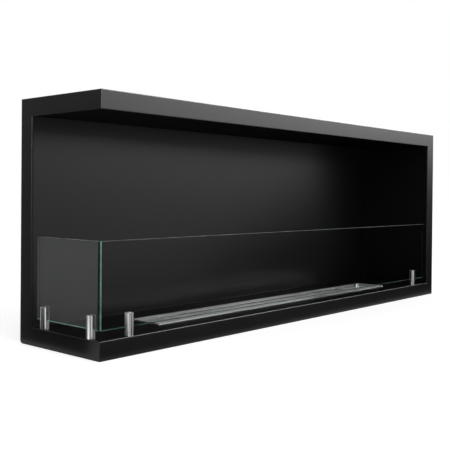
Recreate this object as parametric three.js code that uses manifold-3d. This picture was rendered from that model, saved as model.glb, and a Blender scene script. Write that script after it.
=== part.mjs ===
// Bioethanol fireplace: a black double-walled steel casing, open at the front and on the left, with a long
// stainless burner let into its hearth and a low glass screen along both open sides.
// Millimetres. The origin is the centre of the base, +X is right, +Y is rear and +Z is up.
import * as THREE from "three";
import { mergeVertices } from "three/addons/utils/BufferGeometryUtils.js";
import Module from "manifold-3d";

const wasm = await Module();
wasm.setup();

// ---------------------------------------------------------------- driving dimensions

// Casing
const CASING_WIDTH = 1200;
const CASING_DEPTH = 230;
const CASING_HEIGHT = 450;
const WALL_THICKNESS = 33; // each double wall, from its outer face to its liner
const CASING_SHEET = 1.5;
const BASE_FOLD_RADIUS = 7; // outside radius of the fold along the rear of the base
const REAR_LIP_HEIGHT = 16; // how far that fold turns up the back
const PANEL_GAP = 0.3; // between pieces that are set into each other

// Channels that hold the liner off the casing
const CHANNEL_WIDTH = 40;
const REAR_CHANNEL_INSET = 200; // from the casing's ends to the middle of the outermost rear channels
const REAR_CHANNEL_COUNT = 3;
const TOP_CHANNEL_INSET = 320; // from the casing's ends to the middle of the top channels
const HEARTH_CHANNEL_MARGIN = 35; // from the hearth's burner cut-out to the channel beside it
const COVER_SCREW_MARGIN = 45; // from the rear cover's top and bottom edges
const COVER_SCREW_ROWS = 3;

// Countersunk screws
const COVER_SCREW_RADIUS = 2;
const COVER_SCREW_HEAD_RADIUS = 3.8;
const COVER_SCREW_LENGTH = 9;
const SCREW_GAP = 0.3; // round each screw, in its hole

// Glass screen
const GLASS_THICKNESS = 5;
const GLASS_HEIGHT = 150;
const GLASS_INSET = 9; // from the casing's open edges to the middle of the glass
const GLASS_AIR_GAP = 15.5; // from the hearth to the bottom of the glass
const CORNER_GAP = 2; // between the two panes
const FRONT_GLASS_END_GAP = 6; // to the right liner
const LEFT_GLASS_END_GAP = 10; // to the rear liner

// Glass clips
const CLIP_DIAMETER = 16;
const CLIP_HEIGHT = 40;
const CLIP_CHAMFER = 0.6;
const FRONT_CLIP_INSET = 62.5; // from the ends of the front glass
const LEFT_CLIP_INSET = 21; // from the ends of the left glass
const GLASS_CLEARANCE = 0.3; // on each side of the glass, and under it
const PAD_THICKNESS = 0.8;
const PAD_LENGTH = 14;
const PAD_SIDE_GAP = 0.3;
const CLIP_SCREW_RADIUS = 2.5;
const CLIP_SCREW_HEAD_RADIUS = 4.3;
const CLIP_SCREW_HEAD_HEIGHT = 3;
const CLIP_SCREW_REACH = 9; // above the hearth, into the clip
const GRUB_RADIUS = 2;
const GRUB_LENGTH = 4.6;
const GRUB_BELOW_TOP = 11; // from the top of the clip to the grub screw's axis
const HEX_ACROSS_CORNERS = 2.4;
const HEX_DEPTH = 1.8;

// Burner: the top plate's place on the hearth
const PLATE_CENTRE_X = -11;
const PLATE_CENTRE_Y = -32;
const PLATE_LENGTH = 826;
const PLATE_WIDTH = 76;
const PLATE_SHEET = 1;
const PLATE_SKIRT_GAP = 0.3; // from the skirt to the hearth
const SLOT_LEFT_MARGIN = 50; // from the plate's left end to the flame slot
const SLOT_RIGHT_MARGIN = 144; // from the flame slot to the plate's right end, past the shutter's guide
const SLOT_FRONT_MARGIN = 30; // from the plate's front edge to the flame slot
const SLOT_REAR_MARGIN = 21; // from the flame slot to the plate's rear edge

// Burner: fuel tank, wool and the tray under them
const TANK_SHEET = 0.8;
const TANK_END_MARGIN = 4; // inside, beyond each end of the flame slot
const TANK_FRONT_MARGIN = 18; // inside, in front of the flame slot
const TANK_REAR_MARGIN = 11; // inside, behind the flame slot
const TANK_DEPTH = 28; // below the hearth's top face
const TANK_CUTOUT_GAP = 1.5;
const WOOL_BELOW_FLANGE = 1; // from the flange's top face down to the wool
const WOOL_SIDE_GAP = 0.4;
const TRAY_SHEET = 1;
const TRAY_RIM = 7;
const TRAY_MARGIN = 6; // beyond the tank on every side

// Burner: shutter
const SHUTTER_SHEET = 0.6;
const SHUTTER_GAP = 0.3; // over and under the blade
const SHUTTER_OVERLAP = 1; // past both long edges of the flame slot, when shut
const SHUTTER_LEFT_OVERLAP = 12; // past the slot's left end, when shut
const SHUTTER_SLIDE_X = 66; // how far it travels along the burner, from shut to open
const SHUTTER_OPEN_GAP = 0.5; // between the slot's front edge and the open blade
const GUIDE_FROM_SLOT = 70; // from the flame slot's right end to the middle of the guide slot
const GUIDE_BEHIND_BLADE_CENTRE = 6.5;
const SHOE_WIDTH = 5;
const SHOE_LENGTH = 12;
const SHOE_GAP = 0.3; // between the shoe and the guide slot, on each side and at each limit
const BLADE_PAST_KNOB = 15;
const KNOB_RADIUS = 6;
const KNOB_HEIGHT = 8;
const KNOB_WAIST = 1; // depth of the finger groove
const KNOB_CHAMFER = 0.6;
const KNOB_STEM_RADIUS = 1.5;
const PLATE_SCREW_RADIUS = 1.5;
const PLATE_SCREW_HEAD_RADIUS = 2.4;
const PLATE_SCREW_LENGTH = 1.9;
const PLATE_SCREW_INSET_LEFT = 25; // from the plate's left end
const PLATE_SCREW_INSET_RIGHT = 11; // from the plate's right end
const SPACER_RADIUS = 4;

// How the shapes are made
const ROUND_STEPS = 48; // round a full turn
const SCREW_STEPS = 24;
const FOLD_STEPS = 8; // in a fold, or in the end of a slot
const PAST = 1; // how far a cutting shape runs past what it cuts

// ---------------------------------------------------------------- places worked out from them

const left = -CASING_WIDTH / 2;
const right = CASING_WIDTH / 2;
const front = -CASING_DEPTH / 2;
const rear = CASING_DEPTH / 2;

const hearthTop = WALL_THICKNESS;
const ceilingFace = CASING_HEIGHT - WALL_THICKNESS;
const rearLinerFace = rear - WALL_THICKNESS;
const rightLinerFace = right - WALL_THICKNESS;
const rearLinerBack = rearLinerFace + CASING_SHEET;
const rightLinerBack = rightLinerFace + CASING_SHEET;
const linerLeft = left + CASING_SHEET + PANEL_GAP;
const linerFront = front + CASING_SHEET + PANEL_GAP;

const frontGlassY = front + GLASS_INSET;
const leftGlassX = left + GLASS_INSET;
const glassBottom = hearthTop + GLASS_AIR_GAP;
const frontGlassSpan = [leftGlassX, rightLinerFace - FRONT_GLASS_END_GAP];
const leftGlassSpan = [frontGlassY + GLASS_THICKNESS / 2 + CORNER_GAP, rearLinerFace - LEFT_GLASS_END_GAP];

const plateLeft = PLATE_CENTRE_X - PLATE_LENGTH / 2;
const plateRight = PLATE_CENTRE_X + PLATE_LENGTH / 2;
const plateFront = PLATE_CENTRE_Y - PLATE_WIDTH / 2;
const plateRear = PLATE_CENTRE_Y + PLATE_WIDTH / 2;
const slotLeft = plateLeft + SLOT_LEFT_MARGIN;
const slotRight = plateRight - SLOT_RIGHT_MARGIN;
const slotFront = plateFront + SLOT_FRONT_MARGIN;
const slotRear = plateRear - SLOT_REAR_MARGIN;
const slotWidth = slotRear - slotFront;

const flangeTop = hearthTop + TANK_SHEET;
const bladeBottom = flangeTop + SHUTTER_GAP;
const bladeTop = bladeBottom + SHUTTER_SHEET;
const plateBottom = bladeTop + SHUTTER_GAP;
const plateTop = plateBottom + PLATE_SHEET;

const tankLeft = slotLeft - TANK_END_MARGIN;
const tankRight = slotRight + TANK_END_MARGIN;
const tankFront = slotFront - TANK_FRONT_MARGIN;
const tankRear = slotRear + TANK_REAR_MARGIN;
const tankFloor = hearthTop - TANK_DEPTH;
const cutout = TANK_SHEET + TANK_CUTOUT_GAP; // from the tank's inside to the edge of the hearth's cut-out

// The shutter slides on a slant: shut is half its travel one way, open is half its travel the other way.
const shutterSlideY = slotWidth + SHUTTER_OVERLAP + SHUTTER_OPEN_GAP;
const shutterTravel = Math.hypot(SHUTTER_SLIDE_X, shutterSlideY);
const shutterSlant = Math.atan2(-shutterSlideY, SHUTTER_SLIDE_X);
const bladeCentreY = (slotFront + slotRear) / 2 - shutterSlideY / 2;
const bladeHalfWidth = slotWidth / 2 + SHUTTER_OVERLAP;
const bladeLeft = slotLeft - SHUTTER_LEFT_OVERLAP + SHUTTER_SLIDE_X / 2;
const knobX = slotRight + GUIDE_FROM_SLOT;
const knobY = bladeCentreY + GUIDE_BEHIND_BLADE_CENTRE;

// ---------------------------------------------------------------- materials

const coated = { color: 0x1c1c1c, roughness: 0.5, metalness: 0.2 };
const galvanised = { color: 0x8d9194, roughness: 0.5, metalness: 0.9 };
const brushedSteel = { color: 0xa7a9a9, roughness: 0.35, metalness: 1 };
const polishedSteel = { color: 0xc9cbcc, roughness: 0.15, metalness: 1 };
const floatGlass = { color: 0x9dc3b5, roughness: 0.02, metalness: 0, transparent: true, opacity: 0.3 };
const silicone = { color: 0xb9bdbb, roughness: 0.6, metalness: 0 };
const ceramicFibre = { color: 0xd9d8d2, roughness: 1, metalness: 0 };

// ---------------------------------------------------------------- shapes

// A closed geometry as a solid that can be joined and cut.
function solid(geometry) {
  const bare = geometry.clone();
  bare.deleteAttribute("normal");
  bare.deleteAttribute("uv");
  const merged = mergeVertices(bare, 1e-4);
  const mesh = new wasm.Mesh({
    numProp: 3,
    vertProperties: merged.attributes.position.array,
    triVerts: new Uint32Array(merged.index.array),
  });
  return new wasm.Manifold(mesh);
}

function block(x0, x1, y0, y1, z0, z1) {
  const geometry = new THREE.BoxGeometry(x1 - x0, y1 - y0, z1 - z0);
  geometry.translate((x0 + x1) / 2, (y0 + y1) / 2, (z0 + z1) / 2);
  return solid(geometry);
}

// A piece turned on its own Y axis, from [radius, height] points that start and end on the axis.
function turned(profile, steps) {
  const points = profile.map(([radius, height]) => new THREE.Vector2(radius, height));
  return new THREE.LatheGeometry(points, steps);
}

// The same, standing up along Z.
function turnedUp(profile, steps) {
  return turned(profile, steps).rotateX(Math.PI / 2);
}

function rod(radius, z0, z1, steps = SCREW_STEPS) {
  const profile = [[0, z0], [radius, z0], [radius, z1], [0, z1]];
  return turnedUp(profile, steps);
}

// An outline drawn in Y and Z, with its thickness along X.
function extrudedAlongX(shape, x0, x1) {
  const geometry = new THREE.ExtrudeGeometry(shape, {
    depth: x1 - x0,
    bevelEnabled: false,
    curveSegments: FOLD_STEPS,
  });
  const xAxis = new THREE.Vector3(1, 0, 0);
  const yAxis = new THREE.Vector3(0, 1, 0);
  const zAxis = new THREE.Vector3(0, 0, 1);
  geometry.applyMatrix4(new THREE.Matrix4().makeBasis(yAxis, zAxis, xAxis));
  geometry.translate(x0, 0, 0);
  return solid(geometry);
}

// A slot with round ends, centred on the origin and lying along X.
function roundEndedSlot(length, width, z0, z1) {
  const half = (length - width) / 2;
  const shape = new THREE.Shape();
  shape.absarc(half, 0, width / 2, -Math.PI / 2, Math.PI / 2, false);
  shape.absarc(-half, 0, width / 2, Math.PI / 2, (3 * Math.PI) / 2, false);
  const geometry = new THREE.ExtrudeGeometry(shape, {
    depth: z1 - z0,
    bevelEnabled: false,
    curveSegments: FOLD_STEPS,
  });
  geometry.translate(0, 0, z0);
  return geometry;
}

function hexSocket(z0, z1) {
  return new THREE.CylinderGeometry(HEX_ACROSS_CORNERS / 2, HEX_ACROSS_CORNERS / 2, z1 - z0, 6)
    .rotateX(Math.PI / 2)
    .translate(0, 0, (z0 + z1) / 2);
}

const fireplace = new THREE.Group();

// Adds a solid, or a plain geometry, as one named piece.
function piece(name, shape, finish) {
  let geometry = shape;
  if (!shape.isBufferGeometry) {
    const { vertProperties, triVerts } = shape.getMesh();
    geometry = new THREE.BufferGeometry();
    geometry.setAttribute("position", new THREE.BufferAttribute(vertProperties, 3));
    geometry.setIndex(new THREE.BufferAttribute(triVerts, 1));
    geometry = geometry.toNonIndexed();
    geometry.computeVertexNormals();
  }
  const mesh = new THREE.Mesh(geometry, new THREE.MeshStandardMaterial(finish));
  mesh.name = name;
  fireplace.add(mesh);
  return mesh;
}

// ---------------------------------------------------------------- casing

// A cross-section of the casing, drawn in Y and Z and set in by inset: the base folds up round at the rear.
function crossSection(inset) {
  const foldRadius = BASE_FOLD_RADIUS - inset;
  const foldCentre = [rear - BASE_FOLD_RADIUS, BASE_FOLD_RADIUS];
  const shape = new THREE.Shape();
  shape.moveTo(front + inset, inset);
  shape.lineTo(foldCentre[0], inset);
  shape.absarc(...foldCentre, foldRadius, -Math.PI / 2, 0, false);
  shape.lineTo(rear - inset, CASING_HEIGHT - inset);
  shape.lineTo(front + inset, CASING_HEIGHT - inset);
  shape.closePath();
  return shape;
}

// Welded from sheet and ground flush: base, top, right side, and a frame round each open side. The back is
// open above the lip.
function outerCasing() {
  const insideLeft = left + CASING_SHEET;
  const insideRight = right - CASING_SHEET;
  const insideTop = CASING_HEIGHT - CASING_SHEET;
  const cavity = extrudedAlongX(crossSection(CASING_SHEET), insideLeft, insideRight);
  const insideRear = rear - CASING_SHEET;
  const back = block(insideLeft, insideRight, insideRear - PAST, rear + PAST, REAR_LIP_HEIGHT, insideTop);
  const fireOpening = block(left - PAST, rightLinerFace, front - PAST, rearLinerFace, hearthTop, ceilingFace);
  return extrudedAlongX(crossSection(0), left, right).subtract(cavity).subtract(back).subtract(fireOpening);
}

// A sheet with a flange turned from all four edges. The flanges run from zFlange to the sheet.
function flangedSheet(zSheet, zFlange) {
  const z0 = Math.min(zSheet, zFlange);
  const z1 = Math.max(zSheet + CASING_SHEET, zFlange);
  const whole = block(linerLeft, rightLinerBack, linerFront, rearLinerBack, z0, z1);
  const inside = [
    linerLeft + CASING_SHEET,
    rightLinerBack - CASING_SHEET,
    linerFront + CASING_SHEET,
    rearLinerBack - CASING_SHEET,
  ];
  if (zFlange < zSheet) return whole.subtract(block(...inside, z0 - PAST, zSheet));
  return whole.subtract(block(...inside, zSheet + CASING_SHEET, z1 + PAST));
}

// Upright behind the rear liner, open towards it, with its back against the rear cover.
function rearChannel(x) {
  const x0 = x - CHANNEL_WIDTH / 2;
  const x1 = x + CHANNEL_WIDTH / 2;
  const z0 = BASE_FOLD_RADIUS;
  const z1 = CASING_HEIGHT - CASING_SHEET;
  const t = CASING_SHEET;
  const inside = block(x0 + t, x1 - t, rearLinerBack - PAST, rear - 2 * t, z0 - PAST, z1 + PAST);
  return block(x0, x1, rearLinerBack, rear - t, z0, z1).subtract(inside);
}

// Upright behind the right liner, open towards it, with its back against the casing's side.
function rightChannel() {
  const y0 = -CHANNEL_WIDTH / 2;
  const y1 = CHANNEL_WIDTH / 2;
  const z0 = CASING_SHEET;
  const z1 = CASING_HEIGHT - CASING_SHEET;
  const t = CASING_SHEET;
  const inside = block(rightLinerBack - PAST, right - 2 * t, y0 + t, y1 - t, z0 - PAST, z1 + PAST);
  return block(rightLinerBack, right - t, y0, y1, z0, z1).subtract(inside);
}

// Level, from front to rear between the flanges of the hearth or the ceiling, open below.
function levelChannel(x, z0, z1) {
  const x0 = x - CHANNEL_WIDTH / 2;
  const x1 = x + CHANNEL_WIDTH / 2;
  const t = CASING_SHEET;
  const y0 = linerFront + t + PANEL_GAP;
  const y1 = rearLinerBack - t - PANEL_GAP;
  const inside = block(x0 + t, x1 - t, y0 - PAST, y1 + PAST, z0 - PAST, z1 - t);
  return block(x0, x1, y0, y1, z0, z1).subtract(inside);
}

// The profile of a countersunk screw with a 90 degree head, its flat face up at height 0.
function countersunk(radius, headRadius, length) {
  const cone = headRadius - radius;
  return [[0, -length], [radius, -length], [radius, -cone], [headRadius, 0], [0, 0]];
}

// The profile of the hole for that screw, which runs past the face.
function countersunkHole(radius, headRadius, length) {
  const cone = headRadius - radius;
  const r = radius + SCREW_GAP;
  const head = headRadius + SCREW_GAP;
  const bottom = -length - SCREW_GAP;
  return [[0, bottom], [r, bottom], [r, -cone], [head, 0], [head, PAST], [0, PAST]];
}

// Evenly spaced places from first to last.
function spread(first, last, count) {
  return Array.from({ length: count }, (_, index) => first + ((last - first) * index) / (count - 1));
}

// The rear channels' middles, and the heights of the rear cover's screws in each of them.
const rearChannelPlaces = spread(left + REAR_CHANNEL_INSET, right - REAR_CHANNEL_INSET, REAR_CHANNEL_COUNT);
const coverScrewHeights = spread(
  REAR_LIP_HEIGHT + COVER_SCREW_MARGIN,
  CASING_HEIGHT - CASING_SHEET - COVER_SCREW_MARGIN,
  COVER_SCREW_ROWS,
);

// Cuts the holes for one rear channel's screws, through the rear cover or through the channel.
function cutCoverScrews(body, x) {
  const profile = countersunkHole(COVER_SCREW_RADIUS, COVER_SCREW_HEAD_RADIUS, COVER_SCREW_LENGTH);
  let cut = body;
  for (const z of coverScrewHeights) {
    const hole = turned(profile, SCREW_STEPS).translate(x, rear, z);
    cut = cut.subtract(solid(hole));
  }
  return cut;
}

function addCasing() {
  piece("outer_casing", outerCasing(), coated);

  let cover = block(
    left + CASING_SHEET + PANEL_GAP,
    right - CASING_SHEET - PANEL_GAP,
    rear - CASING_SHEET,
    rear,
    REAR_LIP_HEIGHT + PANEL_GAP,
    CASING_HEIGHT - CASING_SHEET - PANEL_GAP,
  );
  for (const x of rearChannelPlaces) cover = cutCoverScrews(cover, x);
  piece("rear_cover", cover, coated);

  let hearth = flangedSheet(hearthTop - CASING_SHEET, CASING_SHEET).subtract(
    block(
      tankLeft - cutout,
      tankRight + cutout,
      tankFront - cutout,
      tankRear + cutout,
      hearthTop - CASING_SHEET - PAST,
      hearthTop + PAST,
    ),
  );
  for (const clip of clipPlaces()) {
    const hole = rod(CLIP_SCREW_RADIUS + SCREW_GAP, hearthTop - CASING_SHEET - PAST, hearthTop + PAST);
    hearth = hearth.subtract(solid(hole.translate(clip.x, clip.y, 0)));
  }
  piece("hearth_plate", hearth, coated);
  piece("ceiling_plate", flangedSheet(ceilingFace, CASING_HEIGHT - CASING_SHEET), coated);

  const rearLiner = block(linerLeft, rightLinerBack, rearLinerFace, rearLinerBack, hearthTop, ceilingFace);
  piece("rear_liner", rearLiner, coated);
  const rightLiner = block(
    rightLinerFace,
    rightLinerBack,
    linerFront,
    rearLinerFace - PANEL_GAP,
    hearthTop,
    ceilingFace,
  );
  piece("right_liner", rightLiner, coated);
}

function addChannels() {
  const screwProfile = countersunk(COVER_SCREW_RADIUS, COVER_SCREW_HEAD_RADIUS, COVER_SCREW_LENGTH);
  let screwNumber = 0;
  rearChannelPlaces.forEach((x, index) => {
    piece(`rear_channel_${index + 1}`, cutCoverScrews(rearChannel(x), x), galvanised);
    for (const z of coverScrewHeights) {
      screwNumber += 1;
      const screw = piece(`cover_screw_${screwNumber}`, turned(screwProfile, SCREW_STEPS), galvanised);
      screw.position.set(x, rear, z);
    }
  });
  piece("right_channel", rightChannel(), galvanised);

  for (const [side, x] of [["left", left + TOP_CHANNEL_INSET], ["right", right - TOP_CHANNEL_INSET]]) {
    const channel = levelChannel(x, ceilingFace + CASING_SHEET, CASING_HEIGHT - CASING_SHEET);
    piece(`top_channel_${side}`, channel, galvanised);
  }
  const beside = cutout + HEARTH_CHANNEL_MARGIN + CHANNEL_WIDTH / 2;
  for (const [side, x] of [["left", tankLeft - beside], ["right", tankRight + beside]]) {
    const channel = levelChannel(x, CASING_SHEET, hearthTop - CASING_SHEET);
    piece(`hearth_channel_${side}`, channel, galvanised);
  }
}

// ---------------------------------------------------------------- glass screen

// The four clips. turn is the angle that brings a clip's slot from X into the line of its glass, with its
// grub screw towards the fire.
function clipPlaces() {
  return [
    { name: "front_left", x: frontGlassSpan[0] + FRONT_CLIP_INSET, y: frontGlassY, turn: 0 },
    { name: "front_right", x: frontGlassSpan[1] - FRONT_CLIP_INSET, y: frontGlassY, turn: 0 },
    { name: "left_front", x: leftGlassX, y: leftGlassSpan[0] + LEFT_CLIP_INSET, turn: -Math.PI / 2 },
    { name: "left_rear", x: leftGlassX, y: leftGlassSpan[1] - LEFT_CLIP_INSET, turn: -Math.PI / 2 },
  ];
}

// A clip, its pad and its screws stand on the hearth at the origin, with the slot along X.
const clipSlotBottom = GLASS_AIR_GAP - GLASS_CLEARANCE - PAD_THICKNESS;
const clipSlotHalf = GLASS_THICKNESS / 2 + GLASS_CLEARANCE;
const grubHeight = CLIP_HEIGHT - GRUB_BELOW_TOP;

function clipBody() {
  const r = CLIP_DIAMETER / 2;
  const profile = [[0, 0], [r, 0], [r, CLIP_HEIGHT - CLIP_CHAMFER], [r - CLIP_CHAMFER, CLIP_HEIGHT]];
  profile.push([0, CLIP_HEIGHT]);
  const slot = block(-r - PAST, r + PAST, -clipSlotHalf, clipSlotHalf, clipSlotBottom, CLIP_HEIGHT + PAST);
  const bore = rod(CLIP_SCREW_RADIUS + SCREW_GAP, -PAST, CLIP_SCREW_REACH + SCREW_GAP);
  const grubHole = rod(GRUB_RADIUS + SCREW_GAP, -r - PAST, 0)
    .rotateX(Math.PI / 2)
    .translate(0, 0, grubHeight);
  return solid(turnedUp(profile, ROUND_STEPS)).subtract(slot).subtract(solid(bore)).subtract(solid(grubHole));
}

function clipScrew() {
  const head = solid(rod(CLIP_SCREW_HEAD_RADIUS, -CLIP_SCREW_HEAD_HEIGHT, 0));
  const shank = solid(rod(CLIP_SCREW_RADIUS, -CLIP_SCREW_HEAD_HEIGHT / 2, CASING_SHEET + CLIP_SCREW_REACH));
  const socket = solid(hexSocket(-CLIP_SCREW_HEAD_HEIGHT - PAST, HEX_DEPTH - CLIP_SCREW_HEAD_HEIGHT));
  return head.add(shank).subtract(socket);
}

// Lies along Z with its socket at the far end.
function grubScrew() {
  const socket = solid(hexSocket(GRUB_LENGTH - HEX_DEPTH, GRUB_LENGTH + PAST));
  return solid(rod(GRUB_RADIUS, 0, GRUB_LENGTH)).subtract(socket);
}

function addGlassScreen() {
  const top = glassBottom + GLASS_HEIGHT;
  const half = GLASS_THICKNESS / 2;
  const frontGlass = block(...frontGlassSpan, frontGlassY - half, frontGlassY + half, glassBottom, top);
  const leftGlass = block(leftGlassX - half, leftGlassX + half, ...leftGlassSpan, glassBottom, top);
  piece("front_glass", frontGlass, floatGlass);
  piece("left_glass", leftGlass, floatGlass);

  for (const { name, x, y, turn } of clipPlaces()) {
    const clip = new THREE.Group();
    clip.position.set(x, y, hearthTop);
    clip.rotation.z = turn;
    fireplace.add(clip);

    clip.add(piece(`glass_clip_${name}`, clipBody(), polishedSteel));

    const padHalf = clipSlotHalf - PAD_SIDE_GAP;
    const padTop = clipSlotBottom + PAD_THICKNESS;
    const pad = block(-PAD_LENGTH / 2, PAD_LENGTH / 2, -padHalf, padHalf, clipSlotBottom, padTop);
    clip.add(piece(`clip_pad_${name}`, pad, silicone));

    const screw = piece(`clip_screw_${name}`, clipScrew(), galvanised);
    screw.position.z = -CASING_SHEET;
    clip.add(screw);

    const grub = piece(`grub_screw_${name}`, grubScrew(), galvanised);
    grub.rotation.x = -Math.PI / 2;
    grub.position.set(0, half + GLASS_CLEARANCE, grubHeight);
    clip.add(grub);
  }
}

// ---------------------------------------------------------------- burner

// A straight hole through the top plate for each screw, and a slanted one that guides the shutter.
function topPlate() {
  const sheet = block(plateLeft, plateRight, plateFront, plateRear, plateBottom, plateTop);
  const skirtBottom = hearthTop + PLATE_SKIRT_GAP;
  const skirt = block(plateLeft, plateRight, plateFront, plateRear, skirtBottom, plateTop).subtract(
    block(
      plateLeft + PLATE_SHEET,
      plateRight - PLATE_SHEET,
      plateFront + PLATE_SHEET,
      plateRear - PLATE_SHEET,
      skirtBottom - PAST,
      plateTop + PAST,
    ),
  );
  const flameSlot = block(slotLeft, slotRight, slotFront, slotRear, plateBottom - PAST, plateTop + PAST);
  const guideLength = shutterTravel + SHOE_LENGTH + 2 * SHOE_GAP;
  const guideWidth = SHOE_WIDTH + 2 * SHOE_GAP;
  const guide = roundEndedSlot(guideLength, guideWidth, plateBottom - PAST, plateTop + PAST)
    .rotateZ(shutterSlant)
    .translate(knobX, knobY, 0);
  let plate = sheet.add(skirt).subtract(flameSlot).subtract(solid(guide));
  for (const [, x] of plateScrewPlaces()) plate = plate.subtract(plateScrewHole(x));
  return plate;
}

function plateScrewHole(x) {
  const profile = countersunkHole(PLATE_SCREW_RADIUS, PLATE_SCREW_HEAD_RADIUS, PLATE_SCREW_LENGTH);
  return solid(turnedUp(profile, SCREW_STEPS).translate(x, PLATE_CENTRE_Y, plateTop));
}

function plateScrewPlaces() {
  return [
    ["left", plateLeft + PLATE_SCREW_INSET_LEFT],
    ["right", plateRight - PLATE_SCREW_INSET_RIGHT],
  ];
}

// A box with a flange that lies on the hearth all round it, inside the top plate's skirt.
function fuelTank() {
  const t = TANK_SHEET;
  const within = PLATE_SHEET + PANEL_GAP;
  const flange = block(
    plateLeft + within,
    plateRight - within,
    plateFront + within,
    plateRear - within,
    hearthTop,
    flangeTop,
  );
  const walls = block(tankLeft - t, tankRight + t, tankFront - t, tankRear + t, tankFloor, flangeTop);
  const inside = block(tankLeft, tankRight, tankFront, tankRear, tankFloor + t, flangeTop + PAST);
  return flange.add(walls).subtract(inside);
}

// An open tray under the tank that would catch a spill.
function spillTray() {
  const m = TRAY_MARGIN + TANK_SHEET;
  const t = TRAY_SHEET;
  const z0 = CASING_SHEET;
  const outside = [tankLeft - m - t, tankRight + m + t, tankFront - m - t, tankRear + m + t];
  const inside = [tankLeft - m, tankRight + m, tankFront - m, tankRear + m];
  return block(...outside, z0, z0 + TRAY_RIM).subtract(block(...inside, z0 + t, z0 + TRAY_RIM + PAST));
}

function addBurner() {
  piece("spill_tray", spillTray(), galvanised);
  piece("fuel_tank", fuelTank(), brushedSteel);
  const wool = block(
    tankLeft + WOOL_SIDE_GAP,
    tankRight - WOOL_SIDE_GAP,
    tankFront + WOOL_SIDE_GAP,
    tankRear - WOOL_SIDE_GAP,
    tankFloor + TANK_SHEET + WOOL_SIDE_GAP,
    flangeTop - WOOL_BELOW_FLANGE,
  );
  piece("ceramic_wool", wool, ceramicFibre);
  piece("burner_top_plate", topPlate(), brushedSteel);

  for (const [side, x] of plateScrewPlaces()) {
    const spacer = rod(SPACER_RADIUS, flangeTop, plateBottom).translate(x, PLATE_CENTRE_Y, 0);
    piece(`plate_spacer_${side}`, solid(spacer).subtract(plateScrewHole(x)), brushedSteel);
    const profile = countersunk(PLATE_SCREW_RADIUS, PLATE_SCREW_HEAD_RADIUS, PLATE_SCREW_LENGTH);
    const screw = piece(`plate_screw_${side}`, turnedUp(profile, SCREW_STEPS), brushedSteel);
    screw.position.set(x, PLATE_CENTRE_Y, plateTop);
  }
}

// Half open, as it rests: the blade under the plate, and the shoe and knob that slide in the guide slot.
function addShutter() {
  const stemHole = solid(rod(KNOB_STEM_RADIUS + SCREW_GAP, bladeBottom - PAST, plateTop + PAST));
  const blade = block(
    bladeLeft,
    knobX + BLADE_PAST_KNOB,
    bladeCentreY - bladeHalfWidth,
    bladeCentreY + bladeHalfWidth,
    bladeBottom,
    bladeTop,
  ).subtract(stemHole.translate([knobX, knobY, 0]));
  piece("shutter_blade", blade, brushedSteel);

  const shoe = solid(roundEndedSlot(SHOE_LENGTH, SHOE_WIDTH, bladeTop, plateTop)).subtract(stemHole);
  const shoeMesh = piece("guide_shoe", shoe, brushedSteel);
  shoeMesh.position.set(knobX, knobY, 0);
  shoeMesh.rotation.z = shutterSlant;

  const z0 = plateTop + SHUTTER_GAP;
  const z1 = z0 + KNOB_HEIGHT;
  const rim = KNOB_HEIGHT / 4;
  const profile = [
    [0, bladeBottom],
    [KNOB_STEM_RADIUS, bladeBottom],
    [KNOB_STEM_RADIUS, z0],
    [KNOB_RADIUS, z0],
    [KNOB_RADIUS, z0 + rim],
    [KNOB_RADIUS - KNOB_WAIST, z0 + 1.5 * rim],
    [KNOB_RADIUS - KNOB_WAIST, z1 - 1.5 * rim],
    [KNOB_RADIUS, z1 - rim],
    [KNOB_RADIUS, z1 - KNOB_CHAMFER],
    [KNOB_RADIUS - KNOB_CHAMFER, z1],
    [0, z1],
  ];
  const knob = piece("shutter_knob", turnedUp(profile, ROUND_STEPS), polishedSteel);
  knob.position.set(knobX, knobY, 0);
}

addCasing();
addChannels();
addGlassScreen();
addBurner();
addShutter();

export default fireplace;
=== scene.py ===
import math

import bmesh
import bpy
from bpy.props import FloatProperty, FloatVectorProperty, PointerProperty
from mathutils import Matrix, Vector, noise


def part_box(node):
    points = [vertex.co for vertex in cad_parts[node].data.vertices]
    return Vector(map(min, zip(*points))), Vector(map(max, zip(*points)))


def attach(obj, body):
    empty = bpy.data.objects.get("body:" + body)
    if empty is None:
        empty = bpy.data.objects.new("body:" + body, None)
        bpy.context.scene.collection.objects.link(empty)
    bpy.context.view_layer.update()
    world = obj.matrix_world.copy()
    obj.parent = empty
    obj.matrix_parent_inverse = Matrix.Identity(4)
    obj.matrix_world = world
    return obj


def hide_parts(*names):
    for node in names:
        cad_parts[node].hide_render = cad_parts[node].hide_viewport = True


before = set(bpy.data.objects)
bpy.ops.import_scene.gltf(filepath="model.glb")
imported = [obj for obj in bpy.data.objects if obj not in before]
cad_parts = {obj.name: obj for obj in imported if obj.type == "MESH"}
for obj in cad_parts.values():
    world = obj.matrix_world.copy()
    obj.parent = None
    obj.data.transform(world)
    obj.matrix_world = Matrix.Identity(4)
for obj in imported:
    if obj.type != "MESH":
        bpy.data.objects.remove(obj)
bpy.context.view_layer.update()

bl_info = {
    "name": "Bioethanol Fireplace",
    "version": (1, 0, 0),
    "blender": (4, 5, 0),
    "location": "3D View > Sidebar > Fireplace",
    "description": "Finishes a black steel bioethanol fireplace with a stainless burner and a glass screen",
    "category": "Object",
}

MM = 0.001

COATED_SHEETS = ["outer_casing", "rear_cover", "hearth_plate", "ceiling_plate", "rear_liner", "right_liner"]
MATT_SHEETS = ["hearth_plate", "ceiling_plate"]
CLIPS = ["front_left", "front_right", "left_front", "left_rear"]

# Edge radii of the pieces that aren't coated.
FOLDED_EDGE = 0.3 * MM
FINE_EDGE = 0.2 * MM
BLADE_EDGE = 0.1 * MM
EDGE_SEGMENTS = 2
SHARP_ANGLE = math.radians(35)
WELD_DISTANCE = 0.01 * MM

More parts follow.
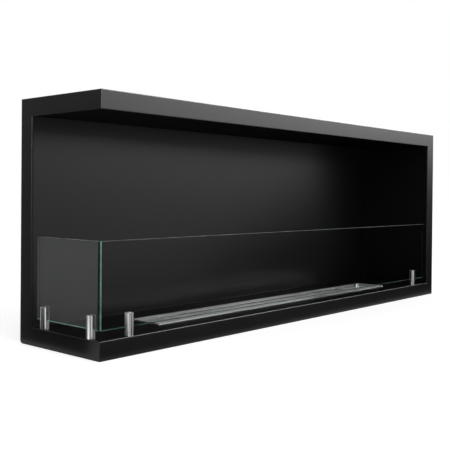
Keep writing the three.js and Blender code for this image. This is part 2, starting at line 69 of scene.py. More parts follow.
# A glass face whose normal leans this much to one side counts as an arris, or as lying flat to that side.
ARRIS_LEAN = 0.3
FLAT_LEAN = 0.99
# A painted reflection of the room, dark to light, on the glass edges that face up.
PAINTED_REFLECTION_EDGE_TONES = ("#46524e", "#8d9a95")
# Painted shade on the glass edges that light doesn't reach.
PAINTED_SHADE_EDGE_TONE = "#1d2f29"
EDGE_GLOSS = 0.3
UNLIT_EDGE_GLOSS = 0.05

# The wool is pressed into long folds and short curls, given as wavelengths along X and Y.
WOOL_FOLD = (18 * MM, 9 * MM)
WOOL_CURL = (6 * MM, 4 * MM)
WOOL_LEVEL, FOLD_SHARE, CURL_SHARE = 0.45, 0.6, 0.35
UPWARD_LEAN = 0.3

# How dark each pattern's dark parts are, as a share of its colour.
CLOUD_SHADE, BRUSH_SHADE, FIBRE_SHADE, WEAVE_SHADE = 0.85, 0.42, 0.6, 0.8
# How far the roughness of the coat and of the brushed steel strays from its setting.
COAT_SPREAD, BRUSH_SPREAD = 0.01, 0.06
# Noise keeps mostly between these two values.
NOISE_SPAN = {"From Min": 0.3, "From Max": 0.7}
# A Mix node has several sockets of each name, so its colour sockets go by number.
MIX_FACTOR, MIX_A, MIX_B, MIX_RESULT = 0, 6, 7, 2

FLOOR_RADIUS = 12.0
FLOOR_SIDES = 96
FLOOR_DROP = 0.5 * MM
FLOOR_GLOW = 0.6
WHITE = (1.0, 1.0, 1.0, 1.0)

# The softboxes, in metres. The gloss-only ones stand for the bright parts of a studio that black gloss
# mirrors, and two of these reach the outer casing alone, where they line its edges.
SOFTBOXES = {
    "room": {"place": (-0.7, -2.3, 2.6), "aim": (0, 0, 0.2), "size": (2.4, 1.6)},
    "gloss": {"place": (2.45, -2.1, 1.3), "aim": (0.2, -0.1, 0.3), "size": (3.2, 1.1), "gloss_only": True},
    "edge": {
        "place": (-2.7, -2.2, 1.5), "aim": (-0.5, 0, 0.35), "size": (3.4, 1.8), "gloss_only": True,
        "only": ["outer_casing"],
    },
    "rim": {
        "place": (2.0, -1.2, 2.2), "aim": (0.1, -0.1, 0.1), "size": (2.4, 1.4), "gloss_only": True,
        "only": ["outer_casing"],
    },
}

# The flags, in metres: the dark parts of a studio. The front one lies on the floor before the fireplace and
# turns up at its far right, and the left one rises from the casing's left foot towards the back.
FLAGS = {
    "front_flag": {
        "cloth": "black_studio_cloth",
        "colour": "#101010",
        "corners": [
            (-0.6, -0.13, 0.0), (3.2, -0.13, 0.0), (3.2, -0.6, 0.0), (0.5, -0.6, 0.0), (0.3, -0.36, 0.0),
            (-0.6, -0.36, 0.0), (3.2, -0.6, 0.42), (1.5, -0.6, 0.42),
        ],
        "faces": [(0, 1, 2, 3, 4, 5), (3, 2, 6, 7)],
    },
    "left_flag": {
        "cloth": "grey_studio_cloth",
        "colour": "#808080",
        "corners": [(-0.62, -0.06, 0.0), (-0.62, 0.16, 0.0), (-1.25, 1.52, 0.75), (-1.77, 0.9, 0.75)],
        "faces": [(0, 1, 2, 3)],
    },
}


def linear(hex_colour):
    """An sRGB hex colour as linear red, green and blue, with an alpha of 1."""
    channels = [int(hex_colour[i:i + 2], 16) / 255 for i in (1, 3, 5)]
    return [c / 12.92 if c <= 0.04045 else ((c + 0.055) / 1.055) ** 2.4 for c in channels] + [1.0]


def rgba(colour, share=1.0):
    """A linear colour with an alpha of 1, brought down to a share of itself."""
    return [channel * share for channel in colour[:3]] + [1.0]


def add_node(material, kind, inputs=None, **settings):
    """Adds one node to a material or world, with settings and with inputs.

    inputs maps a socket to its value, or to the output that feeds it."""
    made = material.node_tree.nodes.new(kind)
    for name, value in settings.items():
        setattr(made, name, value)
    for socket, value in (inputs or {}).items():
        if isinstance(value, bpy.types.NodeSocket):
            material.node_tree.links.new(value, made.inputs[socket])
        else:
            made.inputs[socket].default_value = value
    return made


def new_material(name):
    """A material with no nodes."""
    material = bpy.data.materials.new(name)
    material.use_nodes = True
    material.node_tree.nodes.clear()
    return material


def grain(material, wavelengths, detail=2.0):
    """Noise whose wavelengths along X, Y and Z are given in millimetres."""
    place = add_node(material, "ShaderNodeTexCoord").outputs["Object"]
    scale = [1 / (length * MM) for length in wavelengths]
    stretched = add_node(material, "ShaderNodeMapping", {"Vector": place, "Scale": scale}).outputs[0]
    return add_node(
        material, "ShaderNodeTexNoise", {"Vector": stretched, "Scale": 1.0, "Detail": detail}
    ).outputs["Fac"]


def toned(material, pattern, dark, light):
    """A colour that follows a noise pattern from dark to light."""
    share = add_node(
        material, "ShaderNodeMapRange", {"Value": pattern, **NOISE_SPAN, "To Min": 0.0, "To Max": 1.0}
    ).outputs[0]
    return add_node(
        material, "ShaderNodeMix", {MIX_FACTOR: share, MIX_A: dark, MIX_B: light}, data_type="RGBA"
    ).outputs[MIX_RESULT]


def powder_coated_steel(name, coat_roughness, gloss):
    """Mild steel sheet with a heat-resistant powder coat, sprayed on and baked."""
    # The eye sees a deep black with a faint orange peel about 2 mm across and no grain. The casing, its cover
    # and the upright liners have a satin sheen, and the hearth and ceiling are matt.
    coat = bpy.context.scene.fireplace_coat
    material = new_material(name)
    peel = grain(material, (2, 2, 2))
    cloud = grain(material, (90, 90, 90), detail=3.0)
    rounded = add_node(material, "ShaderNodeBevel", {"Radius": coat.edge_radius}, samples=8).outputs[0]
    bump = add_node(
        material,
        "ShaderNodeBump",
        {"Height": peel, "Strength": 0.12, "Distance": 0.05 * MM, "Normal": rounded},
    ).outputs[0]
    roughness = add_node(
        material,
        "ShaderNodeMapRange",
        {
            "Value": cloud,
            **NOISE_SPAN,
            "To Min": coat_roughness - COAT_SPREAD,
            "To Max": coat_roughness + COAT_SPREAD,
        },
    ).outputs[0]
    surface = add_node(
        material,
        "ShaderNodeBsdfPrincipled",
        {
            "Base Color": toned(material, cloud, rgba(coat.colour, CLOUD_SHADE), rgba(coat.colour)),
            "Roughness": roughness,
            "IOR": 1.5,
            "Specular IOR Level": gloss,
            "Normal": bump,
        },
    ).outputs[0]
    add_node(material, "ShaderNodeOutputMaterial", {"Surface": surface})
    return material


def zinc_coated_steel():
    """Mild steel, folded or turned, then dipped in zinc."""
    # The eye sees a dull blue-grey with patches of spangle about 9 mm across.
    material = new_material("zinc_coated_steel")
    place = add_node(material, "ShaderNodeTexCoord").outputs["Object"]
    spangle = add_node(material, "ShaderNodeTexVoronoi", {"Vector": place, "Scale": 1 / (9 * MM)})
    patch = add_node(material, "ShaderNodeSeparateColor", {"Color": spangle.outputs["Color"]}).outputs[0]
    colour = add_node(
        material,
        "ShaderNodeMix",
        {MIX_FACTOR: patch, MIX_A: linear("#8d9296"), MIX_B: linear("#a6abad")},
        data_type="RGBA",
    ).outputs[MIX_RESULT]
    roughness = add_node(
        material, "ShaderNodeMapRange", {"Value": patch, **NOISE_SPAN, "To Min": 0.38, "To Max": 0.52}
    ).outputs[0]
    surface = add_node(
        material,
        "ShaderNodeBsdfPrincipled",
        {"Base Color": colour, "Metallic": 1.0, "Roughness": roughness},
    ).outputs[0]
    add_node(material, "ShaderNodeOutputMaterial", {"Surface": surface})
    return material


def brushed_stainless_steel():
    """Stainless sheet, brushed lengthwise with a belt before it was cut and folded."""
    # The eye sees pale grey steel, streaked light and dark along the brush lines. The lines, about 0.1 mm
    # apart on the real sheet, are drawn 4.5 mm apart so that they show.
    burner = bpy.context.scene.fireplace_burner
    material = new_material("brushed_stainless_steel")
    lines = grain(material, (400, 4.5, 4.5))
    stain = grain(material, (70, 22, 22), detail=4.0)
    bump = add_node(
        material, "ShaderNodeBump", {"Height": lines, "Strength": 0.5, "Distance": 0.2 * MM}
    ).outputs[0]
    roughness = add_node(
        material,
        "ShaderNodeMapRange",
        {
            "Value": stain,
            **NOISE_SPAN,
            "To Min": burner.steel_roughness - BRUSH_SPREAD,
            "To Max": burner.steel_roughness + BRUSH_SPREAD,
        },
    ).outputs[0]
    # The brush ran along X, so the gloss is drawn out along Y.
    tangent = add_node(material, "ShaderNodeCombineXYZ", {"Y": 1.0}).outputs[0]
    surface = add_node(
        material,
        "ShaderNodeBsdfPrincipled",
        {
            "Base Color": toned(
                material, lines, rgba(burner.steel_colour, BRUSH_SHADE), rgba(burner.steel_colour)
            ),
            "Metallic": 1.0,
            "Roughness": roughness,
            "Anisotropic": 0.8,
            "Tangent": tangent,
            "Normal": bump,
        },
    ).outputs[0]
    add_node(material, "ShaderNodeOutputMaterial", {"Surface": surface})
    return material


def drawn_stainless_steel():
    """Drawn stainless bar, cut and turned, then polished lengthwise."""
    # The eye sees bright steel with upright streaks. They are polish lines about 0.3 mm apart on the real
    # bar, drawn
    # 3.4 mm apart so that they show, and their near-black and near-white bands are painted reflection of what
    # the bar mirrors.
    material = new_material("drawn_stainless_steel")
    streaks = grain(material, (3.4, 3.4, 160), detail=1.0)
    bump = add_node(
        material, "ShaderNodeBump", {"Height": streaks, "Strength": 0.4, "Distance": 0.1 * MM}
    ).outputs[0]
    roughness = add_node(
        material, "ShaderNodeMapRange", {"Value": streaks, **NOISE_SPAN, "To Min": 0.4, "To Max": 0.28}
    ).outputs[0]
    surface = add_node(
        material,
        "ShaderNodeBsdfPrincipled",
        {
            # Painted reflection: the streaks run from near-black to near-white steel.
            "Base Color": toned(material, streaks, linear("#3a3d3e"), linear("#f4f4f4")),
            "Metallic": 1.0,
            "Roughness": roughness,
            "Normal": bump,
        },
    ).outputs[0]
    add_node(material, "ShaderNodeOutputMaterial", {"Surface": surface})
    return material


def toughened_float_glass(name, painted_reflection_veil):
    """Float glass, cut, its edges ground and polished, then toughened."""
    # The eye sees through it, with a faint grey-green veil that is a painted reflection of the room. The
    # share of the view that the veil takes at each face is set per pane, and at none of it only the pane's
    # edges show.
    glass = bpy.context.scene.fireplace_glass
    material = new_material(name)
    ripple = grain(material, (300, 300, 300), detail=1.0)
    surface = add_node(
        material,
        "ShaderNodeBsdfPrincipled",
        {
            # Painted reflection: a pale, rippled veil over what is behind the pane.
            "Base Color": toned(material, ripple, linear("#b7b9b8"), rgba(glass.painted_reflection_tint)),
            "Roughness": 0.05,
            "IOR": 1.5,
            "Alpha": painted_reflection_veil,
        },
    ).outputs[0]
    add_node(material, "ShaderNodeOutputMaterial", {"Surface": surface})
    return material


def polished_glass_edge(name, dark, light, gloss):
    """The same glass at its ground and polished edges, where the eye looks along the pane."""
    # The eye sees sea green in streaks along the edge, the glass's own green with light and shade painted in:
    # pale mint as painted light where light reaches the edge, bottle green as painted shade where it doesn't,
    # and grey as a painted reflection of the room where the edge mirrors it.
    material = new_material(name)
    streak = grain(material, (25, 25, 12), detail=3.0)
    surface = add_node(
        material,
        "ShaderNodeBsdfPrincipled",
        {
            "Base Color": toned(material, streak, dark, light),
            "Roughness": 0.2,
            "IOR": 1.5,
            "Specular IOR Level": gloss,
        },
    ).outputs[0]
    add_node(material, "ShaderNodeOutputMaterial", {"Surface": surface})
    return material


def moulded_silicone():
    """Clear silicone, moulded."""
    # The eye sees a milky, slightly soft-edged grey.
    material = new_material("moulded_silicone")
    mottle = grain(material, (3, 3, 3))
    surface = add_node(
        material,
        "ShaderNodeBsdfPrincipled",
        {
            "Base Color": toned(material, mottle, linear("#a9aeac"), linear("#c0c4c2")),
            "Roughness": 0.45,
            "IOR": 1.41,
        },
    ).outputs[0]
    add_node(material, "ShaderNodeOutputMaterial", {"Surface": surface})
    return material


def ceramic_fibre_wool():
    """Spun ceramic fibre, pressed loosely into a blanket."""
    # The eye sees soft off-white fluff with no shine, with fibres about 1 mm apart drawn 2 mm apart.
    burner = bpy.context.scene.fireplace_burner
    material = new_material("ceramic_fibre_wool")
    fibres = grain(material, (14, 2, 2), detail=5.0)
    bump = add_node(
        material, "ShaderNodeBump", {"Height": fibres, "Strength": 0.8, "Distance": 1.0 * MM}
    ).outputs[0]
    surface = add_node(
        material,
        "ShaderNodeBsdfPrincipled",
        {
            "Base Color": toned(
                material, fibres, rgba(burner.wool_colour, FIBRE_SHADE), rgba(burner.wool_colour)
            ),
            "Roughness": 1.0,
            "IOR": 1.45,
            "Specular IOR Level": 0.1,
            "Normal": bump,
        },
    ).outputs[0]
    add_node(material, "ShaderNodeOutputMaterial", {"Surface": surface})
    return material


def studio_cloth(name, hex_colour):
    """Woven cotton cloth, dyed."""
    # The eye never sees it straight: it darkens what gloss mirrors.
    material = new_material(name)
    weave = grain(material, (1.5, 1.5, 1.5))
    dyed = linear(hex_colour)
    surface = add_node(
        material,
        "ShaderNodeBsdfDiffuse",
        {"Color": toned(material, weave, rgba(dyed, WEAVE_SHADE), dyed), "Roughness": 1.0},
    ).outputs[0]
    add_node(material, "ShaderNodeOutputMaterial", {"Surface": surface})
    return material


def backdrop_seen(material):
    """1 for a ray that sees the white backdrop, from the camera, gloss or a clear piece, and otherwise 0."""
    ray = add_node(material, "ShaderNodeLightPath").outputs
    seen = ray["Is Camera Ray"]
    for other in ("Is Glossy Ray", "Is Transmission Ray"):
        seen = add_node(material, "ShaderNodeMath", {0: seen, 1: ray[other]}, operation="MAXIMUM").outputs[0]
    return seen


def matt_paper(colour):
    """Heavy matt paper, rolled out as the studio's floor."""
    # The eye sees a white floor that still takes the object's shadow.
    material = new_material("matt_paper")
    paper = add_node(material, "ShaderNodeBsdfDiffuse", {"Color": rgba(colour)}).outputs[0]
    glow = add_node(material, "ShaderNodeEmission", {"Color": WHITE, "Strength": FLOOR_GLOW}).outputs[0]
    seen_glow = add_node(material, "ShaderNodeMixShader", {0: backdrop_seen(material), 2: glow}).outputs[0]
    both = add_node(material, "ShaderNodeAddShader", {0: paper, 1: seen_glow}).outputs[0]
    add_node(material, "ShaderNodeOutputMaterial", {"Surface": both})
    return material


def finish_node(name, material, edge_radius=0.0):
    """Puts a material on a CAD node and rounds its sharp edges."""
    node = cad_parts[name]
    if not node.material_slots:
        raise RuntimeError(f"{name} has no material slot")
    for material_slot in node.material_slots:
        material_slot.link = "OBJECT"
        material_slot.material = material
    if edge_radius:
        weld = node.modifiers.new("joined_faces", "WELD")
        weld.merge_threshold = WELD_DISTANCE
        bevel = node.modifiers.new("rounded_edges", "BEVEL")
        bevel.width = edge_radius
        bevel.segments = EDGE_SEGMENTS
        bevel.limit_method = "ANGLE"
        bevel.angle_limit = SHARP_ANGLE
        bevel.harden_normals = True
        bevel.use_clamp_overlap = True


def add_piece(name, shape, materials):
    """Makes an object from a bmesh, which it uses up, with materials in the order of the faces' indices."""
    mesh = bpy.data.meshes.new(name)
    shape.to_mesh(mesh)
    shape.free()
    for material in materials:
        mesh.materials.append(material)
    piece = bpy.data.objects.new(name, mesh)
    bpy.context.scene.collection.objects.link(piece)
    return piece


def pane_shape(low, high, arris):
    """A pane between two corners, with a ground arris along every edge."""
    shape = bmesh.new()
    bmesh.ops.create_cube(shape, size=1.0)
    for vertex in shape.verts:
        share = vertex.co + Vector((0.5, 0.5, 0.5))
        vertex.co = [a + (b - a) * s for a, b, s in zip(low, high, share)]
    bmesh.ops.bevel(shape, geom=shape.edges[:], offset=arris, segments=1, affect="EDGES", profile=0.5)
    shape.normal_update()
    return shape


def pane_tone(normal, thin_axis, painted_lit_end):
    """Which of a pane's tones a face gets, by the way it faces: clear, light, middle, dark or grey.

    The faces are clear, and so are the edges at the right and the back, which stand against the casing. The
    edges' tones are painted: light is painted light, middle painted half shade, dark painted shade and grey a
    painted reflection of the room. One edge is painted as catching the light: the left end where the end is
    to be painted lit, and otherwise the bottom."""
    x, y, z = normal
    if abs(normal[thin_axis]) > FLAT_LEAN or max(x, y) > FLAT_LEAN:
        return "clear"
    if (x < -FLAT_LEAN) if painted_lit_end else (z < -ARRIS_LEAN):
        return "light"
    if z < -ARRIS_LEAN:
        return "middle"
    return "grey" if z > ARRIS_LEAN else "dark"


def wool_dip(x, y, crumple):
    """How far the wool's surface lies below its highest point."""
    fold = noise.noise(Vector((x / WOOL_FOLD[0], y / WOOL_FOLD[1], 0.0)))
    curl = noise.noise(Vector((x / WOOL_CURL[0], y / WOOL_CURL[1], 5.0)))
    return crumple * min(1, max(0, WOOL_LEVEL - FOLD_SHARE * fold - CURL_SHARE * curl))


def wool_shape(low, high, step, crumple):
    """A block of wool between two corners, crumpled on top."""
    size = high - low
    columns, rows = (max(2, round(size[axis] / step)) for axis in range(2))
    shape = bmesh.new()
    grid = []
    for i in range(columns + 1):
        x = low.x + size.x * i / columns
        column = []
        for j in range(rows + 1):
            y = low.y + size.y * j / rows
            column.append(shape.verts.new((x, y, high.z - wool_dip(x, y, crumple))))
        grid.append(column)
    for i in range(columns):
        for j in range(rows):
            shape.faces.new((grid[i][j], grid[i + 1][j], grid[i + 1][j + 1], grid[i][j + 1]))
    rim = [column[0] for column in grid] + grid[-1][1:]
    rim += [column[-1] for column in grid[-2::-1]] + grid[0][-2:0:-1]
    foot = [shape.verts.new((vertex.co.x, vertex.co.y, low.z)) for vertex in rim]
    for k in range(len(rim)):
        shape.faces.new((rim[k - 1], rim[k], foot[k], foot[k - 1]))
    shape.faces.new(foot)
    bmesh.ops.recalc_face_normals(shape, faces=shape.faces[:])
    for face in shape.faces:
        face.smooth = abs(face.normal.z) > UPWARD_LEAN
    return shape


def place_camera(scene, stage):
    """Stands the camera at the photograph's viewing angle."""
    data = bpy.data.cameras.new("camera")
    data.sensor_width = 36
    data.lens = stage.camera_lens
    data.shift_y = stage.camera_shift
    data.clip_start, data.clip_end = 0.01, 100
    camera = bpy.data.objects.new("camera", data)
    scene.collection.objects.link(camera)
    yaw, pitch, roll = stage.camera_heading, stage.camera_pitch, stage.camera_roll
    forward = Vector((-math.sin(yaw) * math.cos(pitch), math.cos(yaw) * math.cos(pitch), -math.sin(pitch)))
    across = Vector((math.cos(yaw), math.sin(yaw), 0))
    up = across.cross(forward)
    right = math.cos(roll) * across + math.sin(roll) * up
    top = math.cos(roll) * up - math.sin(roll) * across
    turn = Matrix((right, top, -forward)).transposed()
    camera.matrix_world = Matrix.Translation(stage.camera_place) @ turn.to_4x4()
    scene.camera = camera


def surround_with_white(scene, room_light):
    """Makes the world white to the eye and in reflections, and dimmer as a light."""
    world = bpy.data.worlds.new("white_surround")
    scene.world = world
    world.use_nodes = True
    world.node_tree.nodes.clear()
    strength = add_node(
        world, "ShaderNodeMapRange", {"Value": backdrop_seen(world), "To Min": room_light, "To Max": 1.0}
    ).outputs[0]
    background = add_node(world, "ShaderNodeBackground", {"Color": WHITE, "Strength": strength})
    add_node(world, "ShaderNodeOutputWorld", {"Surface": background.outputs[0]})


def lay_floor(colour):
    """Lays a wide disc of paper just under the object."""
    shape = bmesh.new()
    bmesh.ops.create_circle(shape, cap_ends=True, segments=FLOOR_SIDES, radius=FLOOR_RADIUS)
    floor = add_piece("studio_floor", shape, [matt_paper(colour)])
    floor.location.z = -FLOOR_DROP


def hang_softbox(name, power, place, aim, size, gloss_only=False, only=()):
    """Hangs a softbox that faces aim. A gloss-only one shows in reflections and lights nothing else, and one
    with a list of pieces reaches only those."""
    data = bpy.data.lights.new(name, "AREA")
    data.shape = "RECTANGLE"
    data.size, data.size_y = size
    data.energy = power
    lamp = bpy.data.objects.new(name, data)
    lamp.location = place
    lamp.rotation_euler = (Vector(aim) - lamp.location).to_track_quat("-Z", "Y").to_euler()
    lamp.visible_camera = False
    lamp.visible_diffuse = not gloss_only
    bpy.context.scene.collection.objects.link(lamp)
    if only:
        lit = bpy.data.collections.new(f"{name}_lit")
        for piece in only:
            lit.objects.link(bpy.data.objects[piece])
        lamp.light_linking.receiver_collection = lit


def stand_flag(name, cloth, colour, corners, faces):
    """Stands a dull flag that only reflections show."""
    shape = bmesh.new()
    points = [shape.verts.new(corner) for corner in corners]
    for face in faces:
        shape.faces.new([points[i] for i in face])
    flag = add_piece(name, shape, [studio_cloth(cloth, colour)])
    flag.visible_camera = False
    flag.visible_diffuse = False
    flag.visible_transmission = False
    flag.visible_shadow = False


class FireplaceCoat(bpy.types.PropertyGroup):
    colour: FloatVectorProperty(
        name="Coat colour", description="Colour of the powder coat", subtype="COLOR",
        default=linear("#0a0a0a")[:3], min=0, max=1,
    )
    roughness: FloatProperty(
        name="Coat roughness", description="How far the coat spreads a reflection", subtype="FACTOR",
        default=0.32, min=0.05, max=1,
    )
    gloss: FloatProperty(
        name="Coat gloss", description="How much the coat mirrors", subtype="FACTOR",
        default=0.2, min=0, max=1,
    )
    hearth_roughness: FloatProperty(
        name="Hearth roughness", description="How far the hearth's matt coat spreads a reflection",
        subtype="FACTOR", default=0.5, min=0.05, max=1,
    )
    hearth_gloss: FloatProperty(
        name="Hearth gloss", description="How much the hearth's matt coat mirrors", subtype="FACTOR",
        default=0.04, min=0, max=1,
    )
    edge_radius: FloatProperty(
        name="Edge radius", description="Radius of the casing's ground edges", subtype="DISTANCE",
        unit="LENGTH", default=2.2 * MM, min=0, max=3 * MM, precision=5,
    )


class FireplaceGlass(bpy.types.PropertyGroup):
    # The veil's tint is the colour of the painted reflection on the glass faces.
    painted_reflection_tint: FloatVectorProperty(
        name="Face tint", description="Tint of the veil on the glass faces", subtype="COLOR",
        default=linear("#c6cac8")[:3], min=0, max=1,
    )
    # The edges' colours are the glass's own green, with painted light where light reaches and painted shade
    # where it doesn't.
    painted_lit_edge: FloatVectorProperty(
        name="Light edge", description="Colour of the edges that light reaches", subtype="COLOR",
        default=linear("#86b8a6")[:3], min=0, max=1,
    )
    painted_shade_edge: FloatVectorProperty(
        name="Dark edge", description="Colour of the edges that light doesn't reach", subtype="COLOR",
        default=linear("#0d1a16")[:3], min=0, max=1,
    )
    # Each pane's veil is a painted reflection of the room; the left pane has one and the front pane none.
    front_painted_reflection_veil: FloatProperty(
        name="Front clouding", description="How much each face of the front pane veils what is behind it",
        subtype="FACTOR", default=0.0, min=0, max=1,
    )
    left_painted_reflection_veil: FloatProperty(
        name="Left clouding", description="How much each face of the left pane veils what is behind it",
        subtype="FACTOR", default=0.06, min=0, max=1,
    )
    arris: FloatProperty(
        name="Arris", description="Width of the ground arris along each edge", subtype="DISTANCE",
        unit="LENGTH", default=0.5 * MM, min=0, max=2 * MM, precision=5,
    )


class FireplaceBurner(bpy.types.PropertyGroup):
    steel_colour: FloatVectorProperty(
        name="Steel colour", description="Colour of the brushed stainless steel", subtype="COLOR",
        default=linear("#d6d8d9")[:3], min=0, max=1,
    )
    steel_roughness: FloatProperty(
        name="Steel roughness", description="Roughness of the brushed steel", subtype="FACTOR",
        default=0.38, min=0.05, max=1,
    )
    wool_colour: FloatVectorProperty(
        name="Wool colour", description="Colour of the ceramic wool", subtype="COLOR",
        default=linear("#e6e5e0")[:3], min=0, max=1,
    )
    wool_crumple: FloatProperty(
        name="Wool crumple", description="How deep the wool's surface is crumpled", subtype="DISTANCE",
        unit="LENGTH", default=2.2 * MM, min=0, max=5 * MM, precision=5,
    )
    wool_step: FloatProperty(
        name="Wool step", description="Spacing of the wool's surface points", subtype="DISTANCE",
        unit="LENGTH", default=2.5 * MM, min=1 * MM, max=10 * MM, precision=5,
    )


class FireplaceStage(bpy.types.PropertyGroup):
    camera_place: FloatVectorProperty(
        name="Camera place", description="Where the camera stands", subtype="TRANSLATION", unit="LENGTH",
        default=(-1.383127, -1.080759, 0.278583),
    )
    camera_heading: FloatProperty(
        name="Camera heading", description="Angle of the view from +Y, turning left", subtype="ANGLE",
        unit="ROTATION", default=-0.8464156,
    )
    camera_pitch: FloatProperty(
        name="Camera pitch", description="How far the camera looks down", subtype="ANGLE",
        unit="ROTATION", default=0.0072737,
    )
    camera_roll: FloatProperty(
        name="Camera roll", description="How far the camera leans", subtype="ANGLE",
        unit="ROTATION", default=0.00843858,
    )
    camera_lens: FloatProperty(
        name="Camera lens", description="Focal length on a 36 mm wide sensor", unit="CAMERA",
        default=59.7364,
    )
    camera_shift: FloatProperty(
        name="Camera shift", description="Upward shift, as a share of the frame", default=-0.056847,
    )
    floor_colour: FloatVectorProperty(
        name="Floor colour", description="Colour of the studio floor", subtype="COLOR",
        default=linear("#dcdcdc")[:3], min=0, max=1,
    )
    room_light: FloatProperty(
        name="Room light", description="Strength of the even light from all round", default=0.6, min=0,
    )
    room_power: FloatProperty(
        name="Room softbox power", description="Power of the softbox over the front", subtype="POWER",
        unit="POWER", default=30, min=0,
    )
    gloss_power: FloatProperty(
        name="Gloss softbox power", description="Power of the softbox at the right front, seen in gloss",
        subtype="POWER", unit="POWER", default=66, min=0,
    )
    edge_power: FloatProperty(
        name="Edge softbox power", description="Power of the softbox behind the camera, which lines edges",
        subtype="POWER", unit="POWER", default=460, min=0,
    )
    rim_power: FloatProperty(
        name="Rim softbox power", description="Power of the softbox high at the right, which lines top edges",
        subtype="POWER", unit="POWER", default=300, min=0,
    )


class FIREPLACE_OT_finish_casing(bpy.types.Operator):
    """Coats the outer casing and the liner, and grinds their edges"""
    bl_idname = "fireplace.finish_casing"
    bl_label = "Finish Casing"

    def execute(self, context):
        coat = context.scene.fireplace_coat
        satin = powder_coated_steel("satin_powder_coated_steel", coat.roughness, coat.gloss)
        matt = powder_coated_steel("matt_powder_coated_steel", coat.hearth_roughness, coat.hearth_gloss)
        for name in COATED_SHEETS:
            finish_node(name, matt if name in MATT_SHEETS else satin, coat.edge_radius)
        return {"FINISHED"}


class FIREPLACE_OT_finish_supports(bpy.types.Operator):
    """Zinc-coats the channels, their screws and the spill tray, which the casing hides"""
    bl_idname = "fireplace.finish_supports"
    bl_label = "Finish Supports"

    def execute(self, context):
        zinc = zinc_coated_steel()
        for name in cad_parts:
            if "channel" in name or name == "spill_tray":
                finish_node(name, zinc, FOLDED_EDGE)
            if name.startswith(("cover_screw", "clip_screw", "grub_screw")):
                finish_node(name, zinc)
        return {"FINISHED"}


class FIREPLACE_OT_finish_glass(bpy.types.Operator):
    """Makes both panes clear, with arrissed green edges in painted light, shade and reflection"""
    bl_idname = "fireplace.finish_glass"
    bl_label = "Finish Glass"

    def execute(self, context):
        glass = context.scene.fireplace_glass
        # light and dark are the painted light and the painted shade of the glass edges.
        light, dark = rgba(glass.painted_lit_edge), rgba(glass.painted_shade_edge)
        half_painted_light = [(a + b) / 2 for a, b in zip(dark, light)]
        painted_reflection_dark, painted_reflection_light = (linear(tone) for tone in PAINTED_REFLECTION_EDGE_TONES)
        # The edge tones are painted light, painted half shade, painted shade and a painted reflection of the
        # room.
        edges = {
            "light": polished_glass_edge("polished_glass_edge_light", half_painted_light, light, EDGE_GLOSS),
            "middle": polished_glass_edge("polished_glass_edge_middle", dark, half_painted_light, UNLIT_EDGE_GLOSS),
            "dark": polished_glass_edge(
                "polished_glass_edge_dark", dark, linear(PAINTED_SHADE_EDGE_TONE), UNLIT_EDGE_GLOSS
            ),
            "grey": polished_glass_edge("polished_glass_edge_grey", painted_reflection_dark, painted_reflection_light, EDGE_GLOSS),
        }
        tones = ["clear", *edges]
        # The left pane gets a veil of painted reflection, and the front pane none.
        for body, name, painted_reflection_veil in (
            ("front_pane", "front_glass", glass.front_painted_reflection_veil),
            ("left_pane", "left_glass", glass.left_painted_reflection_veil),
        ):
            low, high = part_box(name)
            thin_axis = min(range(3), key=lambda axis: high[axis] - low[axis])
            shape = pane_shape(low, high, glass.arris)
            for face in shape.faces:
                face.material_index = tones.index(pane_tone(face.normal, thin_axis, body == "front_pane"))
            clear = toughened_float_glass(f"toughened_float_glass_{body}", painted_reflection_veil)
            pane = add_piece(f"{name}_polished", shape, [clear, *edges.values()])
            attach(pane, body)
            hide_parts(name)
        return {"FINISHED"}


class FIREPLACE_OT_finish_clips(bpy.types.Operator):
    """Polishes the four glass clips and fits their pads"""
    bl_idname = "fireplace.finish_clips"
    bl_label = "Finish Clips"

    def execute(self, context):
        steel, silicone = drawn_stainless_steel(), moulded_silicone()
        for place in CLIPS:
            finish_node(f"glass_clip_{place}", steel, FOLDED_EDGE)
            finish_node(f"clip_pad_{place}", silicone)
        return {"FINISHED"}


class FIREPLACE_OT_finish_burner(bpy.types.Operator):
    """Brushes the burner's tank, top plate, spacers and screws"""
    bl_idname = "fireplace.finish_burner"
    bl_label = "Finish Burner"

    def execute(self, context):
        steel = brushed_stainless_steel()
        finish_node("burner_top_plate", steel, FOLDED_EDGE)
        finish_node("fuel_tank", steel, FINE_EDGE)
        for side in ("left", "right"):
            finish_node(f"plate_spacer_{side}", steel)
            finish_node(f"plate_screw_{side}", steel)
        return {"FINISHED"}


class FIREPLACE_OT_make_wool(bpy.types.Operator):
    """Makes the crumpled ceramic wool that fills the tank"""
    bl_idname = "fireplace.make_wool"
    bl_label = "Make Wool"

    def execute(self, context):
        burner = context.scene.fireplace_burner
        low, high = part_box("ceramic_wool")
        shape = wool_shape(low, high, burner.wool_step, burner.wool_crumple)
        wool = add_piece("ceramic_wool_blanket", shape, [ceramic_fibre_wool()])
        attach(wool, "burner")
        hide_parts("ceramic_wool")
        return {"FINISHED"}


class FIREPLACE_OT_finish_shutter(bpy.types.Operator):
    """Brushes the shutter's blade and shoe, and polishes its knob"""
    bl_idname = "fireplace.finish_shutter"
    bl_label = "Finish Shutter"

    def execute(self, context):
        brushed = bpy.data.materials.get("brushed_stainless_steel")
        drawn = bpy.data.materials.get("drawn_stainless_steel")
        if not (brushed and drawn):
            raise RuntimeError("finish the clips and the burner first")
        finish_node("shutter_blade", brushed, BLADE_EDGE)
        finish_node("guide_shoe", brushed)
        finish_node("shutter_knob", drawn, FINE_EDGE)
        return {"FINISHED"}


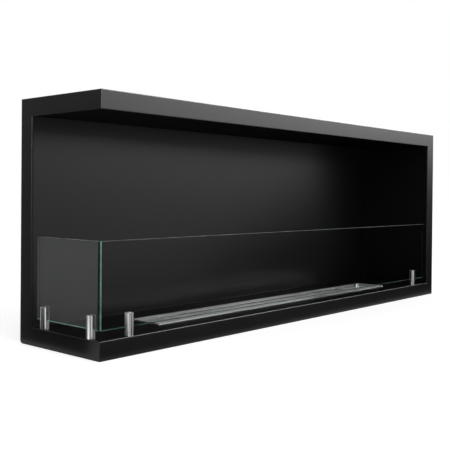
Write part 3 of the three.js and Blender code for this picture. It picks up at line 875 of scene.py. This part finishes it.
class FIREPLACE_OT_make_stage(bpy.types.Operator):
    """Makes the camera, the softboxes, the pale floor and the white surround"""
    bl_idname = "fireplace.make_stage"
    bl_label = "Make Stage"

    def execute(self, context):
        scene, stage = context.scene, context.scene.fireplace_stage
        scene.view_settings.view_transform = "Standard"
        place_camera(scene, stage)
        surround_with_white(scene, stage.room_light)
        lay_floor(stage.floor_colour)
        for name, softbox in SOFTBOXES.items():
            hang_softbox(f"{name}_softbox", getattr(stage, f"{name}_power"), **softbox)
        for name, flag in FLAGS.items():
            stand_flag(name, **flag)
        return {"FINISHED"}


OPERATORS = (
    FIREPLACE_OT_finish_casing,
    FIREPLACE_OT_finish_supports,
    FIREPLACE_OT_finish_glass,
    FIREPLACE_OT_finish_clips,
    FIREPLACE_OT_finish_burner,
    FIREPLACE_OT_make_wool,
    FIREPLACE_OT_finish_shutter,
    FIREPLACE_OT_make_stage,
)
SETTINGS = {
    "fireplace_coat": FireplaceCoat,
    "fireplace_glass": FireplaceGlass,
    "fireplace_burner": FireplaceBurner,
    "fireplace_stage": FireplaceStage,
}


class FIREPLACE_PT_sidebar(bpy.types.Panel):
    bl_idname = "FIREPLACE_PT_sidebar"
    bl_label = "Fireplace"
    bl_space_type = "VIEW_3D"
    bl_region_type = "UI"
    bl_category = "Fireplace"

    def draw(self, context):
        for name, group in SETTINGS.items():
            box = self.layout.box()
            for setting in group.__annotations__:
                box.prop(getattr(context.scene, name), setting)
        for operator in OPERATORS:
            self.layout.operator(operator.bl_idname)


def register():
    for group in SETTINGS.values():
        bpy.utils.register_class(group)
    for name, group in SETTINGS.items():
        setattr(bpy.types.Scene, name, PointerProperty(type=group))
    for made in OPERATORS + (FIREPLACE_PT_sidebar,):
        bpy.utils.register_class(made)


def unregister():
    for made in reversed(OPERATORS + (FIREPLACE_PT_sidebar,)):
        bpy.utils.unregister_class(made)
    for name in SETTINGS:
        delattr(bpy.types.Scene, name)
    for group in SETTINGS.values():
        bpy.utils.unregister_class(group)


def main():
    register()
    for operator in OPERATORS:
        getattr(bpy.ops.fireplace, operator.bl_idname.split(".")[1])()


if __name__ == "__main__":
    main()
